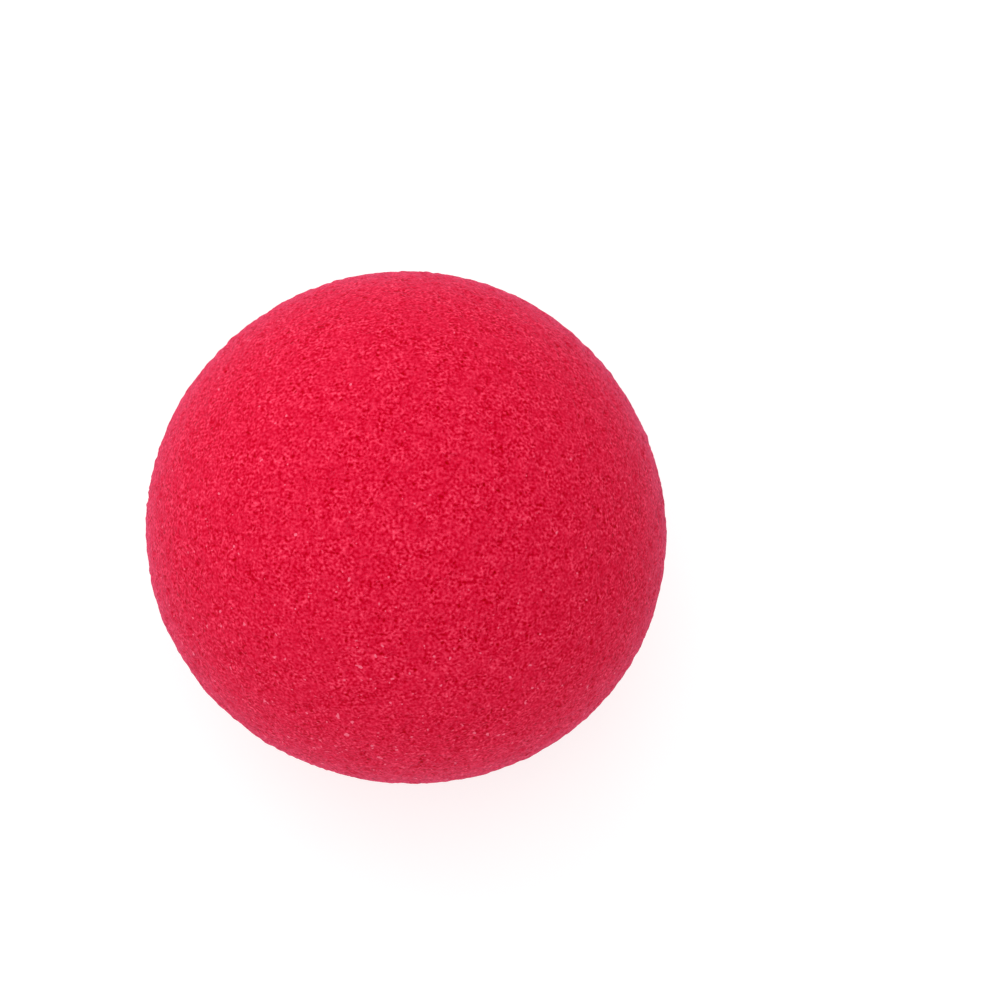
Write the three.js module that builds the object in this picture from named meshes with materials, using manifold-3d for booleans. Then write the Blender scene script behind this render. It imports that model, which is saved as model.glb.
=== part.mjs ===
// A round foam clown nose, one piece of red open-cell sponge.
// It is a ball ground from a block, with a lens-shaped pocket cut into its back,
// where two curved cuts lean together and end in a rounded floor. The wearer's nose goes in there.
// It lies as it does on a table, on the lips of the pocket, with its front up.
// Millimetres. X runs along the pocket's mouth, Y runs across it, and Z is up.
// The origin is on the table, under the middle of the ball.

import * as THREE from 'three';
import { mergeVertices } from 'three/addons/utils/BufferGeometryUtils.js';
import Module from 'manifold-3d';

// The ball
const ballDiameter = 50;
// Grinding by hand leaves it a little oval and a little three-lobed, as its outline shows.
const ovalSwell = 0.24;
const lobeSwell = 0.15;
// How far each swell is turned in the outline, counter-clockwise from the right, in degrees
const ovalTurn = -21;
const lobeTurn = 79;
// How far above the table the outline is seen from, in degrees
const outlineElevation = 75;

// The pocket, measured from the lowest point of the whole ball
const mouthLength = 37;
const mouthWidth = 17;
const floorLength = 25;
const floorWidth = 10;
const pocketDepth = 28;
// How much of the depth the rounded floor takes
const floorRounding = 7;
// How far below the ball the cut starts, so that it runs clear of the skin
const cutOverrun = 2.5;

// How finely the surfaces are divided
const skinDetail = 16;
const outlineSteps = 64;
const wallSteps = 7;
const floorSteps = 6;
// Corners nearer than this are one corner
const mergeDistance = 1e-4;

const ballRadius = ballDiameter / 2;
const ballCentre = new THREE.Vector3(0, 0, ballRadius);
const degree = Math.PI / 180;

const wasm = await Module();
wasm.setup();

// The swell of the ground surface in one direction. Seen along the outline's line of sight, the oval goes
// round twice and the lobes three times, and both fade out where the surface faces the viewer.
function groundSwell(direction) {
  const right = direction.x;
  const up = direction.y * Math.sin(outlineElevation * degree) + direction.z * Math.cos(outlineElevation * degree);
  const turn = Math.atan2(up, right);
  const out = Math.hypot(right, up);
  const oval = ovalSwell * out ** 2 * Math.cos(2 * (turn - ovalTurn * degree));
  const lobes = lobeSwell * out ** 3 * Math.cos(3 * (turn - lobeTurn * degree));
  return oval + lobes;
}

// The whole ball before the pocket is cut
function ballSkin() {
  const skin = new THREE.IcosahedronGeometry(1, skinDetail);
  const places = skin.getAttribute('position');
  const point = new THREE.Vector3();
  for (let i = 0; i < places.count; i += 1) {
    point.fromBufferAttribute(places, i).normalize();
    point.multiplyScalar(ballRadius + groundSwell(point)).add(ballCentre);
    places.setXYZ(i, point.x, point.y, point.z);
  }
  return skin;
}

// A lens between two equal arcs that meet in points at both ends, as a closed loop of points
function lensOutline(length, width) {
  const arcRadius = (length ** 2 + width ** 2) / (4 * width);
  const arcOffset = arcRadius - width / 2;
  const halfTurn = Math.asin(length / 2 / arcRadius);
  const outline = new THREE.Shape();
  outline.absarc(0, -arcOffset, arcRadius, Math.PI / 2 - halfTurn, Math.PI / 2 + halfTurn);
  outline.absarc(0, arcOffset, arcRadius, -Math.PI / 2 - halfTurn, -Math.PI / 2 + halfTurn);
  return outline.getSpacedPoints(outlineSteps).slice(0, outlineSteps);
}

// One section of the pocket, at a height above the whole ball's lowest point. The lens narrows evenly
// from mouth to floor, and over the rounded floor it also closes as a quarter of an ellipse does.
function pocketSection(height, closing) {
  const share = height / pocketDepth;
  const length = THREE.MathUtils.lerp(mouthLength, floorLength, share) * closing;
  const width = THREE.MathUtils.lerp(mouthWidth, floorWidth, share) * closing;
  return lensOutline(length, width).map((corner) => new THREE.Vector3(corner.x, corner.y, height));
}

// The space that the pocket takes, from just below the ball to the top of its floor
function pocketSpace() {
  const wallTop = pocketDepth - floorRounding;
  const sections = [];
  for (let i = 0; i <= wallSteps; i += 1) {
    sections.push(pocketSection(THREE.MathUtils.lerp(-cutOverrun, wallTop, i / wallSteps), 1));
  }
  for (let i = 1; i < floorSteps; i += 1) {
    const turn = (i / floorSteps) * (Math.PI / 2);
    sections.push(pocketSection(wallTop + floorRounding * Math.sin(turn), Math.cos(turn)));
  }
  return closedLoft(sections, new THREE.Vector3(0, 0, -cutOverrun), new THREE.Vector3(0, 0, pocketDepth));
}

// A closed skin through a stack of loops with as many points each, with a fan to a point at each end
function closedLoft(loops, firstPole, lastPole) {
  const around = loops[0].length;
  const points = [firstPole, ...loops.flat(), lastPole];
  const last = points.length - 1;
  const faces = [];
  for (let j = 0; j < around; j += 1) {
    const next = (j + 1) % around;
    faces.push(0, 1 + next, 1 + j);
    for (let i = 0; i + 1 < loops.length; i += 1) {
      const low = 1 + i * around;
      const high = low + around;
      faces.push(low + j, low + next, high + next);
      faces.push(low + j, high + next, high + j);
    }
    faces.push(last, last - around + j, last - around + next);
  }
  const skin = new THREE.BufferGeometry().setFromPoints(points);
  skin.setIndex(faces);
  return skin;
}

function solidOf(geometry) {
  geometry.deleteAttribute('normal');
  geometry.deleteAttribute('uv');
  const merged = mergeVertices(geometry, mergeDistance);
  return new wasm.Manifold(new wasm.Mesh({
    numProp: 3,
    vertProperties: Float32Array.from(merged.getAttribute('position').array),
    triVerts: Uint32Array.from(merged.getIndex().array),
  }));
}

function geometryOf(solid) {
  const { vertProperties, triVerts } = solid.getMesh();
  const geometry = new THREE.BufferGeometry();
  geometry.setAttribute('position', new THREE.BufferAttribute(vertProperties, 3));
  geometry.setIndex(new THREE.BufferAttribute(triVerts, 1));
  geometry.computeVertexNormals();
  return geometry;
}

// Sits a geometry on the table, with the middle of its box over the origin
function onTable(geometry) {
  geometry.computeBoundingBox();
  const box = geometry.boundingBox;
  const middle = box.getCenter(new THREE.Vector3());
  return geometry.translate(-middle.x, -middle.y, -box.min.z);
}

// Dry red sponge with no shine
const redFoam = new THREE.MeshStandardMaterial({ color: 0xe01d3e, roughness: 1, metalness: 0 });

const foamBall = new THREE.Mesh(
  onTable(geometryOf(solidOf(ballSkin()).subtract(solidOf(pocketSpace())))),
  redFoam,
);
foamBall.name = 'foam_ball';

const clownNose = new THREE.Group();
clownNose.name = 'clown_nose';
clownNose.add(foamBall);

export default clownNose;
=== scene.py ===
import math

import bpy
import numpy as np
from mathutils import Matrix, Vector


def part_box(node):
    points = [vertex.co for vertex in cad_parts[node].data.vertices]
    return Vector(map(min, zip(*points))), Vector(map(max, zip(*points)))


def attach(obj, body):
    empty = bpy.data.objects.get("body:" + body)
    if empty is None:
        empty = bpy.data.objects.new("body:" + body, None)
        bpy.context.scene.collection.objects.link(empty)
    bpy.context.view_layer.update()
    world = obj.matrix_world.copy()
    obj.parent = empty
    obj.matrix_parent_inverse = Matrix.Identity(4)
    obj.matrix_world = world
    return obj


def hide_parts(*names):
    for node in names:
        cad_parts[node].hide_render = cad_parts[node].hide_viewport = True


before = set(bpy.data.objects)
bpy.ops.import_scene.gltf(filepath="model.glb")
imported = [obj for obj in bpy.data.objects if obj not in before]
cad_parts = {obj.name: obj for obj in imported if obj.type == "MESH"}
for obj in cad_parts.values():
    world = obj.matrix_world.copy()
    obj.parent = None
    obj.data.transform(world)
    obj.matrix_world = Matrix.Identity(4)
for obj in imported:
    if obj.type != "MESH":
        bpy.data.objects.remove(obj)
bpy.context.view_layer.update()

# The ball of sponge.
# The real nose is one piece of red open-cell foam. A block of it is ground round on a wheel, which leaves the
# ball a little oval and three-lobed, and then two curved knives cut a lens-shaped pocket into its back.

mm = 0.001
ball_radius = 25 * mm
oval_swell = 0.24 * mm
lobe_swell = 0.15 * mm
# How far each swell is turned in the outline, counter-clockwise from the right, and how far above the table
# the outline is seen from
oval_turn = math.radians(-21)
lobe_turn = math.radians(79)
outline_elevation = math.radians(75)

mouth_length = 37 * mm
mouth_width = 17 * mm
floor_length = 25 * mm
floor_width = 10 * mm
pocket_depth = 28 * mm
floor_rounding = 7 * mm
lip_rounding = 0.6 * mm

# The skin's grid: squares along a cube's edge, the polar angle of the grid where the skin turns in at the
# lip, the share of the pocket's rows that lie on its wall, and the power that gathers those near the lip.
cube_steps = 126
lip_on_grid = math.radians(139.5)
wall_rows = 0.62
wall_gathering = 1.25
# Corners on the cube that agree to one part in this many are one corner. On the flat map each face keeps this
# margin clear. The lip is found by halving a span this many times.
weld_fineness = 1e6
map_margin = 0.01
lip_halvings = 40


def cube_directions(steps):
    """Unit directions on six square grids wrapped round a cube, welded along its edges. A grid line that is
    a given share of the way across a face stands at that share of 90 degrees, less 45, so that the squares
    come out nearly alike on a ball. Also gives each square's four corners and their places on a flat map,
    where the six faces lie in two rows of three."""
    line = np.tan(np.radians(np.linspace(-45, 45, steps + 1)))
    a, b = np.meshgrid(line, line, indexing="ij")
    one = np.ones_like(a)
    faces = [(one, a, b), (-one, -a, b), (-a, one, b), (a, -one, b), (-b, a, one), (b, a, -one)]
    points = np.array(faces).transpose(0, 2, 3, 1).reshape(-1, 3)
    coarse = np.round(points * weld_fineness)
    _, first, welded = np.unique(coarse, axis=0, return_index=True, return_inverse=True)
    square = np.arange(points.shape[0]).reshape(6, steps + 1, steps + 1)
    corners = np.stack([square[:, :-1, :-1], square[:, 1:, :-1], square[:, 1:, 1:], square[:, :-1, 1:]], -1)
    corners = corners.reshape(-1, 4)
    share = np.linspace(map_margin, 1 - map_margin, steps + 1)
    across, along = np.meshgrid(share, share, indexing="ij")
    face = np.arange(6)[:, None, None]
    flat = np.stack([(face % 3 + across) / 3, (face // 3 + along) / 2], -1).reshape(-1, 2)
    directions = points[first]
    directions /= np.linalg.norm(directions, axis=1, keepdims=True)
    return directions, welded.reshape(-1)[corners], flat[corners]


def ground_swell(direction):
    """How far the ground skin stands out of a true ball. Seen along the outline's line of sight, the oval
    goes round twice and the lobes three times, and both fade out where the skin faces the viewer."""
    right = direction[:, 0]
    up = direction[:, 1] * math.sin(outline_elevation) + direction[:, 2] * math.cos(outline_elevation)
    turn = np.arctan2(up, right)
    out = np.hypot(right, up)
    oval = oval_swell * out ** 2 * np.cos(2 * (turn - oval_turn))
    lobes = lobe_swell * out ** 3 * np.cos(3 * (turn - lobe_turn))
    return oval + lobes


def skin_place(polar, turn):
    """The point of the ground skin at a polar angle from the front and a turn round the upright axis.
    Heights are measured from the lowest point of the whole ball."""
    direction = np.stack([np.sin(polar) * np.cos(turn), np.sin(polar) * np.sin(turn), np.cos(polar)], -1)
    place = direction * (ball_radius + ground_swell(direction))[:, None]
    place[:, 2] += ball_radius
    return place


def pocket_reach(turn, height):
    """How far the pocket's wall stands from its axis. Each section is a lens between two equal arcs, whose
    length and width narrow evenly from mouth to floor. The distance is where the ray at that turn meets the
    arc on its own side."""
    share = height / pocket_depth
    half_length = (mouth_length + (floor_length - mouth_length) * share) / 2
    half_width = (mouth_width + (floor_width - mouth_width) * share) / 2
    offset = (half_length ** 2 - half_width ** 2) / (2 * half_width)
    across = offset * np.abs(np.sin(turn))
    return np.sqrt(half_length ** 2 + across ** 2) - across


def wall_place(turn, height, closing):
    """A point of the pocket's wall or of its rounded floor, where closing is the share of the wall's reach."""
    reach = pocket_reach(turn, height) * closing
    return np.stack([reach * np.cos(turn), reach * np.sin(turn), height], -1)


def lip_polar(turn):
    """The polar angle where the skin meets the pocket's wall, found by halving a span many times."""
    high = np.full_like(turn, math.pi)
    low = np.full_like(turn, math.pi / 2)
    for _ in range(lip_halvings):
        middle = (low + high) / 2
        place = skin_place(middle, turn)
        outside = np.hypot(place[:, 0], place[:, 1]) > pocket_reach(turn, place[:, 2])
        low = np.where(outside, middle, low)
        high = np.where(outside, high, middle)
    return low


def sponge_places(direction):
    """The ball's surface for directions on the grid. Down to the lip's angle a direction runs over the skin,
    and past it up the pocket's wall and over the floor, which closes as a quarter of an ellipse. Near the lip
    the two sides are joined by a curve that starts along one, ends along the other and bends towards the
    corner between them."""
    polar = np.arccos(np.clip(direction[:, 2], -1, 1))
    turn = np.arctan2(direction[:, 1], direction[:, 0])
    lip = lip_polar(turn)
    corner = skin_place(lip, turn)
    on_skin = lip * np.minimum(polar / lip_on_grid, 1)
    skin = skin_place(on_skin, turn)

    inward = np.clip((polar - lip_on_grid) / (math.pi - lip_on_grid), 0, 1) ** wall_gathering
    wall_top = pocket_depth - floor_rounding
    up_wall = np.minimum(inward / wall_rows, 1)
    over_floor = np.clip((inward - wall_rows) / (1 - wall_rows), 0, 1) * math.pi / 2
    height = corner[:, 2] + (wall_top - corner[:, 2]) * up_wall + floor_rounding * np.sin(over_floor)
    wall = wall_place(turn, height, np.cos(over_floor))

    before = skin_place(lip - lip_rounding / ball_radius, turn)
    after = wall_place(turn, corner[:, 2] + lip_rounding, 1)
    past = np.where(inward > 0, height - corner[:, 2], (on_skin - lip) * ball_radius)
    share = np.clip((past + lip_rounding) / (2 * lip_rounding), 0, 1)[:, None]
    rounded = (1 - share) ** 2 * before + 2 * share * (1 - share) * corner + share ** 2 * after
    sharp = np.where(inward[:, None] > 0, wall, skin)
    return np.where(np.abs(past)[:, None] < lip_rounding, rounded, sharp)


def corner_normals(places, squares):
    """Each corner's outward direction: the sum of the cross products of its squares' diagonals, brought to
    length 1."""
    first = places[squares[:, 2]] - places[squares[:, 0]]
    second = places[squares[:, 3]] - places[squares[:, 1]]
    normals = np.repeat(np.cross(first, second), 4, axis=0)
    total = np.stack([np.bincount(squares.ravel(), normals[:, i], len(places)) for i in range(3)], -1)
    return total / np.linalg.norm(total, axis=1, keepdims=True)


def soft_waves(places, shortest, longest, count, seed):
    """Gentle lumps between about -1 and 1: the sum of many plane waves, each with a random direction, a
    random start and a random wavelength between the two given."""
    rng = np.random.default_rng(seed)
    heading = rng.normal(size=(count, 3))
    heading /= np.linalg.norm(heading, axis=1, keepdims=True)
    heading *= 2 * math.pi / rng.uniform(shortest, longest, (count, 1))
    start = rng.uniform(0, 2 * math.pi, count)
    return np.sin(places @ heading.T + start).sum(1) / math.sqrt(2 * count)


def cut_cells(places, spacing, reach, seed):
    """How deep the grinding opened the foam's cells, from 0 to 1. Every box as wide as the spacing holds one
    cell centre, set in it at random. A cell's bowl has a random depth, and from its middle it rises with the
    square of the distance to nothing at its reach. The deepest bowl counts."""
    rng = np.random.default_rng(seed)
    scaled = places / spacing
    first = np.floor(scaled.min(0)).astype(int) - 1
    box = np.floor(scaled).astype(int) - first
    size = tuple(box.max(0) + 2)
    centres = rng.random((*size, 3)) + np.indices(size).transpose(1, 2, 3, 0) + first
    depths = rng.random(size)
    deepest = np.zeros(len(places))
    for step in np.ndindex(3, 3, 3):
        near = tuple((box + np.array(step) - 1).T)
        gap = np.linalg.norm(scaled - centres[near], axis=1) * spacing / reach
        deepest = np.maximum(deepest, depths[near] * np.clip(1 - gap ** 2, 0, 1))
    return deepest


direction, squares, flat_map = cube_directions(cube_steps)
places = sponge_places(direction)

# The fine surface: slow lumps from the wheel, crumb, the cut cells, and a few larger bubbles.
lump_height = 0.035 * mm
crumb_height = 0.072 * mm
cell_depth = 0.24 * mm
bubble_depth = 0.38 * mm
relief = lump_height * soft_waves(places, shortest=4 * mm, longest=9 * mm, count=40, seed=1)
relief += crumb_height * soft_waves(places, shortest=0.9 * mm, longest=1.6 * mm, count=90, seed=2)
relief -= cell_depth * cut_cells(places, spacing=0.9 * mm, reach=0.55 * mm, seed=3)
relief -= bubble_depth * cut_cells(places, spacing=3.2 * mm, reach=0.6 * mm, seed=4)
relief -= relief.mean()
smooth_middle = (places.min(0) + places.max(0)) / 2
skin_normals = corner_normals(places, squares)
places += skin_normals * relief[:, None]

# The grid's heights start at the whole ball's lowest point. The ball lies on the table, on its lips.
foam_low, foam_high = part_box("foam_ball")
foam_middle = (foam_low + foam_high) / 2
places[:, :2] += np.array(foam_middle)[:2] - smooth_middle[:2]
places[:, 2] += foam_low.z - places[:, 2].min()

sponge_mesh = bpy.data.meshes.new("sponge_ball")
sponge_mesh.vertices.add(len(places))
sponge_mesh.vertices.foreach_set("co", places.ravel())
sponge_mesh.loops.add(squares.size)
sponge_mesh.loops.foreach_set("vertex_index", squares.ravel())
sponge_mesh.polygons.add(len(squares))
sponge_mesh.polygons.foreach_set("loop_start", np.arange(0, squares.size, 4))
sponge_mesh.polygons.foreach_set("use_smooth", np.ones(len(squares), bool))
flat_layer = sponge_mesh.uv_layers.new(name="OFBake")
flat_layer.uv.foreach_set("vector", flat_map.ravel())
sponge_mesh.update(calc_edges=True)
sponge_mesh.validate()

# Light soaks into foam and comes out nearby, so its shading turns less sharply than its relief does.
skin_share = 0.65
eased_normals = corner_normals(places, squares) * (1 - skin_share) + skin_normals * skin_share
eased_normals /= np.linalg.norm(eased_normals, axis=1, keepdims=True)
sponge_mesh.normals_split_custom_set_from_vertices(eased_normals)
sponge_ball = bpy.data.objects.new("sponge_ball", sponge_mesh)
bpy.context.collection.objects.link(sponge_ball)


def add_node(tree, kind, **inputs):
    """A shader node with its inputs set. An input goes by its name, or as n0, n1 and so on by its number.
    Another node's socket is linked to it, and anything else becomes its value."""
    node = tree.nodes.new(kind)
    for name, value in inputs.items():
        socket = node.inputs[int(name[1:])] if name[0] == "n" and name[1:].isdigit() else node.inputs[name]
        if isinstance(value, bpy.types.NodeSocket):
            tree.links.new(value, socket)
        else:
            socket.default_value = value
    return node


def maths(tree, operation, *values):
    """The result of one Math node."""
    node = add_node(tree, "ShaderNodeMath", **{f"n{i}": value for i, value in enumerate(values)})
    node.operation = operation
    return node.outputs[0]


def smooth_range(tree, value, span, start=0.0, end=1.0):
    """A value eased from start to end while the input goes over a span."""
    ends = {"From Min": span[0], "From Max": span[1], "To Min": start, "To Max": end}
    node = add_node(tree, "ShaderNodeMapRange", Value=value, **ends)
    node.interpolation_type = "SMOOTHSTEP"
    return node.outputs["Result"]


def mixed(tree, share, first, second):
    """Two colours mixed by a share."""
    node = tree.nodes.new("ShaderNodeMix")
    node.data_type = "RGBA"
    for socket, value in zip((node.inputs[0], node.inputs[6], node.inputs[7]), (share, first, second)):
        if isinstance(value, bpy.types.NodeSocket):
            tree.links.new(value, socket)
        else:
            socket.default_value = value
    return node.outputs[2]


# The pattern of cut cells. A scale is how many lumps of noise come to a millimetre, and a span is where an
# eased step starts and ends. A tone or a rise is how much a full feature lightens or lifts the foam.
noise_middle = 0.5
wander_scale = 1.6
wander_reach = 0.9
bowl_span = (0.2, 0.42)
shallowest_pit = 0.4
strut_span = (0.0, 0.2)
tear_scale = 1.3
tear_span = (0.42, 0.6)
curl_scale = 2.5
curl_twist = 0.2
curl_span = (0.01, 0.06)
crumb_scale = 3.9
patch_scale = 0.3
blur_scale = 0.55
blur_span = (0.32, 0.62)
# How much of the tone shows where the foam looks soft, and where it looks crisp
blurred_share = 0.7
crisp_share = 1.15
# Crumbs and patches change the tone at random. Curls and struts are lightened by painted light, and pits are
# darkened by painted shade.
crumb_tone = 6.8
curl_painted_light = 1.3
usual_tone = 0.35
strut_painted_light = 1.0
pit_painted_shade = -1.9
patch_tone = 0.5
strut_rise = 0.35
curl_rise = 0.25
pit_rise = -0.6
# Painted glints, small spots of painted highlight, come where a noise passes its span. The lean adds to it for
# each millimetre along the axes, so that more of them lie towards -Y, and a few more towards -X.
painted_glint_scale = 1.7
painted_glint_lean = (-0.0009, -0.0028, 0.0)
painted_glint_span = (0.755, 0.805)


def sponge_cells():
    """The pattern of cut foam cells, for places given in millimetres. Pits are open cells, lower, and darker
    with painted shade. Struts are the thin torn walls left between them, and curls are torn ends that lie
    across them, both higher, and lighter with painted light. The painted glints are small spots of painted
    highlight.
    Tone is how much lighter or darker the foam is coloured in each place, mostly between -1 and 1: random
    crumbs and patches, and the painted shade and light of pits, struts and curls."""
    group = bpy.data.node_groups.new("sponge cells", "ShaderNodeTree")
    for name, kind, start in (
        ("Place", "NodeSocketVector", None),
        ("Cell Size", "NodeSocketFloat", 0.6),
        ("Open Share", "NodeSocketFloat", 0.6),
    ):
        socket = group.interface.new_socket(name, in_out="INPUT", socket_type=kind)
        if start is not None:
            socket.default_value = start
    for name in ("Height", "Tone", "Painted Glints"):
        group.interface.new_socket(name, in_out="OUTPUT", socket_type="NodeSocketFloat")
    given = group.nodes.new("NodeGroupInput").outputs
    result = group.nodes.new("NodeGroupOutput").inputs

    wander = add_node(group, "ShaderNodeTexNoise", Vector=given["Place"], Scale=wander_scale, Detail=1.0)
    shift = add_node(group, "ShaderNodeVectorMath", n0=wander.outputs["Color"], n1=[noise_middle] * 3)
    shift.operation = "SUBTRACT"
    reach = [wander_reach] * 3
    bend = add_node(group, "ShaderNodeVectorMath", n0=shift.outputs[0], n1=reach, n2=given["Place"])
    bend.operation = "MULTIPLY_ADD"
    scaled = add_node(group, "ShaderNodeVectorMath", n0=bend.outputs[0])
    scaled.operation = "SCALE"
    group.links.new(maths(group, "DIVIDE", 1.0, given["Cell Size"]), scaled.inputs["Scale"])

    centre = add_node(group, "ShaderNodeTexVoronoi", Vector=scaled.outputs[0], Scale=1.0)
    edge = add_node(group, "ShaderNodeTexVoronoi", Vector=scaled.outputs[0], Scale=1.0)
    edge.feature = "DISTANCE_TO_EDGE"
    chance = add_node(group, "ShaderNodeSeparateColor", Color=centre.outputs["Color"]).outputs
    is_open = maths(group, "LESS_THAN", chance[0], given["Open Share"])
    bowl = smooth_range(group, centre.outputs["Distance"], bowl_span, 1.0, 0.0)
    depth = maths(group, "MULTIPLY_ADD", chance[1], 1 - shallowest_pit, shallowest_pit)
    pits = maths(group, "MULTIPLY", maths(group, "MULTIPLY", bowl, is_open), depth)

    thin = smooth_range(group, edge.outputs["Distance"], strut_span, 1.0, 0.0)
    broken = add_node(group, "ShaderNodeTexNoise", Vector=given["Place"], Scale=tear_scale, Detail=2.0)
    kept = smooth_range(group, broken.outputs[0], tear_span)
    struts = maths(group, "MULTIPLY", thin, kept)

    curl_noise = add_node(group, "ShaderNodeTexNoise", Vector=given["Place"], Scale=curl_scale, Detail=0.0)
    curl_noise.inputs["Distortion"].default_value = curl_twist
    off_middle = maths(group, "ABSOLUTE", maths(group, "SUBTRACT", curl_noise.outputs[0], noise_middle))
    curls = smooth_range(group, off_middle, curl_span, 1.0, 0.0)

    crumb = add_node(group, "ShaderNodeTexNoise", Vector=given["Place"], Scale=crumb_scale, Detail=0.0)
    patch = add_node(group, "ShaderNodeTexNoise", Vector=given["Place"], Scale=patch_scale, Detail=2.0)
    blur = add_node(group, "ShaderNodeTexNoise", Vector=given["Place"], Scale=blur_scale, Detail=1.0)
    tone = maths(group, "MULTIPLY_ADD", crumb.outputs[0], crumb_tone, -crumb_tone * noise_middle)
    # Painted light on the raised curls and struts, and painted shade in the sunken pits.
    tone = maths(group, "MULTIPLY_ADD", curls, curl_painted_light, maths(group, "SUBTRACT", tone, usual_tone))
    tone = maths(group, "MULTIPLY_ADD", struts, strut_painted_light, tone)
    tone = maths(group, "MULTIPLY_ADD", pits, pit_painted_shade, tone)
    crispness = smooth_range(group, blur.outputs[0], blur_span, blurred_share, crisp_share)
    patches = maths(group, "MULTIPLY_ADD", patch.outputs[0], patch_tone, -patch_tone * noise_middle)
    tone = maths(group, "MULTIPLY_ADD", tone, crispness, patches)

    rise = maths(group, "MULTIPLY_ADD", struts, strut_rise, maths(group, "MULTIPLY", curls, curl_rise))
    height = maths(group, "MULTIPLY_ADD", pits, pit_rise, rise)

    # The painted glints: small pale spots of painted highlight, more of them towards -Y.
    lean = add_node(group, "ShaderNodeVectorMath", n0=given["Place"], n1=painted_glint_lean)
    lean.operation = "DOT_PRODUCT"
    torn = add_node(group, "ShaderNodeTexNoise", Vector=given["Place"], Scale=painted_glint_scale, Detail=1.0)
    ends = maths(group, "ADD", torn.outputs[0], lean.outputs["Value"])
    painted_glints = smooth_range(group, ends, painted_glint_span)

    for name, value in (("Height", height), ("Tone", tone), ("Painted Glints", painted_glints)):
        group.links.new(value, result[name])
    return group


# Colours are written as a screen shows them, so that a step of tone is as large to the eye anywhere, and are
# turned to linear light at the end.
foam_red = (0.872, 0.122, 0.248)
# A step of tone, which carries random crumbs and patches and the painted shade and light of pits, struts and
# curls.
tone_step = (0.047, 0.055, 0.05)
# The pale pink of the painted glints, a painted highlight.
painted_glint_pink = (0.985, 0.42, 0.515, 1)
bloom_tint = (1.0, 0.5, 0.95, 1)
darkest = (0.0, 0.0, 0.0)
palest = (0.99, 0.99, 0.99)
screen_gamma = 2.2

red_foam = bpy.data.materials.new("red foam")
red_foam.use_nodes = True
tree = red_foam.node_tree
tree.nodes.clear()
place = tree.nodes.new("ShaderNodeTexCoord").outputs["Object"]
in_mm = add_node(tree, "ShaderNodeVectorMath", n0=place)
in_mm.operation = "SCALE"
in_mm.inputs["Scale"].default_value = 1 / mm
cells = tree.nodes.new("ShaderNodeGroup")
cells.node_tree = sponge_cells()
tree.links.new(in_mm.outputs[0], cells.inputs["Place"])
cells.inputs["Cell Size"].default_value = 0.55
cells.inputs["Open Share"].default_value = 0.62

# The red is stepped by the tone, with its painted shade in pits and painted light on struts and curls.
toned = add_node(tree, "ShaderNodeVectorMath", n0=cells.outputs["Tone"], n1=tone_step, n2=foam_red)
toned.operation = "MULTIPLY_ADD"
kept_positive = add_node(tree, "ShaderNodeVectorMath", n0=toned.outputs[0], n1=darkest)
kept_positive.operation = "MAXIMUM"
kept_below_white = add_node(tree, "ShaderNodeVectorMath", n0=kept_positive.outputs[0], n1=palest)
kept_below_white.operation = "MINIMUM"
# The painted glints, a painted highlight, are mixed in over the red.
seen_colour = mixed(tree, cells.outputs["Painted Glints"], kept_below_white.outputs[0], painted_glint_pink)
linear_colour = add_node(tree, "ShaderNodeGamma", Color=seen_colour, Gamma=screen_gamma)

bump = tree.nodes.new("ShaderNodeBump")
bump.inputs["Strength"].default_value = 0.6
bump.inputs["Distance"].default_value = 0.08 * mm
tree.links.new(cells.outputs["Height"], bump.inputs["Height"])

foam = tree.nodes.new("ShaderNodeBsdfPrincipled")
tree.links.new(linear_colour.outputs[0], foam.inputs["Base Color"])
tree.links.new(bump.outputs[0], foam.inputs["Normal"])
foam.inputs["Roughness"].default_value = 1.0
foam.inputs["Specular IOR Level"].default_value = 0.04
foam.inputs["Sheen Weight"].default_value = 0.22
foam.inputs["Sheen Roughness"].default_value = 0.35
foam.inputs["Sheen Tint"].default_value = bloom_tint
surface = tree.nodes.new("ShaderNodeOutputMaterial")
tree.links.new(foam.outputs[0], surface.inputs["Surface"])
sponge_mesh.materials.append(red_foam)

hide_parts("foam_ball")
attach(sponge_ball, "root")

# The table.
# A studio's table of opal white plastic, far larger than the nose. It is lit from below as well as from
# above, so that it stays pale under the ball and throws a little light up at its sides.

sheet_side = 6.0
sheet_white = (0.4, 0.4, 0.4, 1)
sheet_glow = 0.7
sheet_mesh = bpy.data.meshes.new("white_sheet")
half_sheet = sheet_side / 2
sheet_mesh.from_pydata(
    [(-half_sheet, -half_sheet, 0), (half_sheet, -half_sheet, 0),
     (half_sheet, half_sheet, 0), (-half_sheet, half_sheet, 0)],
    [],
    [(0, 1, 2, 3)],
)
white_sheet = bpy.data.objects.new("white_sheet", sheet_mesh)
bpy.context.collection.objects.link(white_sheet)
opal_plastic = bpy.data.materials.new("opal plastic")
opal_plastic.use_nodes = True
for name, value in (
    ("Base Color", sheet_white),
    ("Roughness", 1.0),
    ("Specular IOR Level", 0.0),
    ("Emission Color", (1, 1, 1, 1)),
    ("Emission Strength", sheet_glow),
):
    opal_plastic.node_tree.nodes["Principled BSDF"].inputs[name].default_value = value
sheet_mesh.materials.append(opal_plastic)

# The light.
# A white room all round, brighter on the left and along the foot of its walls, gives most of it. A large soft
# light overhead and another behind the ball on the left, like a window, give the rest.

ball_centre = Vector((foam_middle.x, foam_middle.y, foam_high.z - ball_radius))
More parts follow.
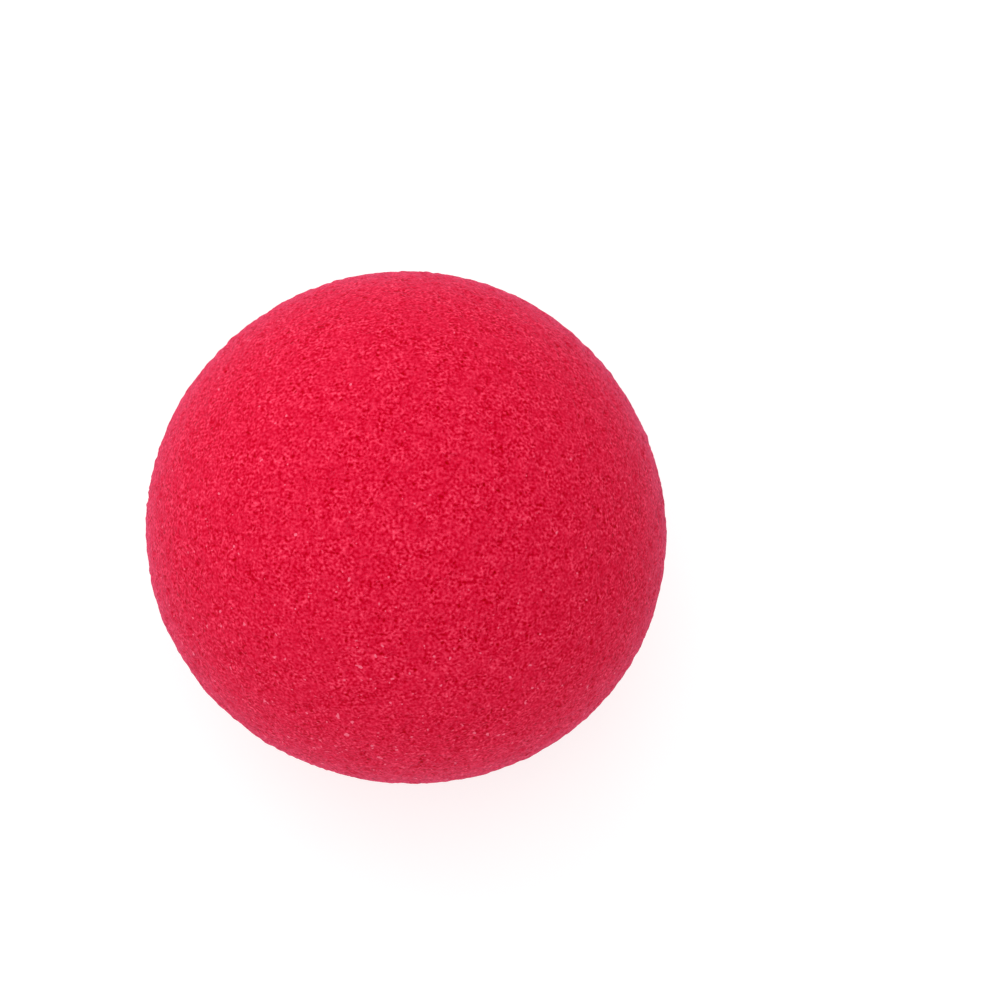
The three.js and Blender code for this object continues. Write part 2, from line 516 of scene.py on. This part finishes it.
# How strong the room is at the foot of its walls and above it, how much it gains towards the left, and where
# the foot of the walls ends, as the sine of the angle above the horizon
wall_strength = 0.714
room_strength = 0.514
left_gain = 0.25
wall_edge = (math.sin(math.radians(5)), math.sin(math.radians(24)))
room = bpy.data.worlds.new("white room")
room.use_nodes = True
room_tree = room.node_tree
backdrop = room_tree.nodes["Background"].inputs
backdrop["Color"].default_value = (1, 1, 1, 1)
direction_seen = room_tree.nodes.new("ShaderNodeTexCoord").outputs["Generated"]
seen = add_node(room_tree, "ShaderNodeSeparateXYZ", Vector=direction_seen).outputs
even_light = smooth_range(room_tree, seen["Z"], wall_edge, wall_strength, room_strength)
room_light = maths(room_tree, "MULTIPLY_ADD", seen["X"], -left_gain, even_light)
room_tree.links.new(room_light, backdrop["Strength"])
bpy.context.scene.world = room


def soft_window(name, towards, distance, side, power):
    """A square soft light that stands in a direction from the ball, at a distance, and faces it."""
    data = bpy.data.lights.new(name, "AREA")
    data.size = side
    data.energy = power
    light = bpy.data.objects.new(name, data)
    away = Vector(towards).normalized()
    light.location = ball_centre + away * distance
    light.rotation_euler = away.to_track_quat("Z", "Y").to_euler()
    light.visible_camera = False
    bpy.context.collection.objects.link(light)


soft_window("window", towards=(-0.3, 0.7, 0.65), distance=0.9, side=0.9, power=2.25)
soft_window("ceiling", towards=(0, 0, 1), distance=0.9, side=0.9, power=4.15)

# The camera.
# It stands where the photograph was taken from, well above the table, with the ball left of the middle.

# The frame's side, the middle of the ball in it and the ball's radius, in pixels of the photograph
frame_pixels = 1002
ball_at = (407, 527.2)
ball_pixels = 257.4
# The lens and the sensor's width, in millimetres
lens = 85.0
sensor = 36.0
view_elevation = math.radians(75)

focal_pixels = lens / sensor * frame_pixels
distance = ball_radius / math.sin(math.atan(ball_pixels / focal_pixels))
back = Vector((0, -math.cos(view_elevation), math.sin(view_elevation)))
right = Vector((1, 0, 0))
up = back.cross(right)
aside = (frame_pixels / 2 - ball_at[0]) / focal_pixels * distance
above = (ball_at[1] - frame_pixels / 2) / focal_pixels * distance
camera_data = bpy.data.cameras.new("camera")
camera_data.lens = lens
camera_data.sensor_width = sensor
camera = bpy.data.objects.new("camera", camera_data)
bpy.context.collection.objects.link(camera)
camera.location = ball_centre + back * distance
facing = (back * distance - right * aside - up * above).normalized()
level = up.cross(facing).normalized()
camera.rotation_euler = Matrix((level, facing.cross(level), facing)).transposed().to_euler()
bpy.context.scene.camera = camera
bpy.context.scene.view_settings.view_transform = "Standard"
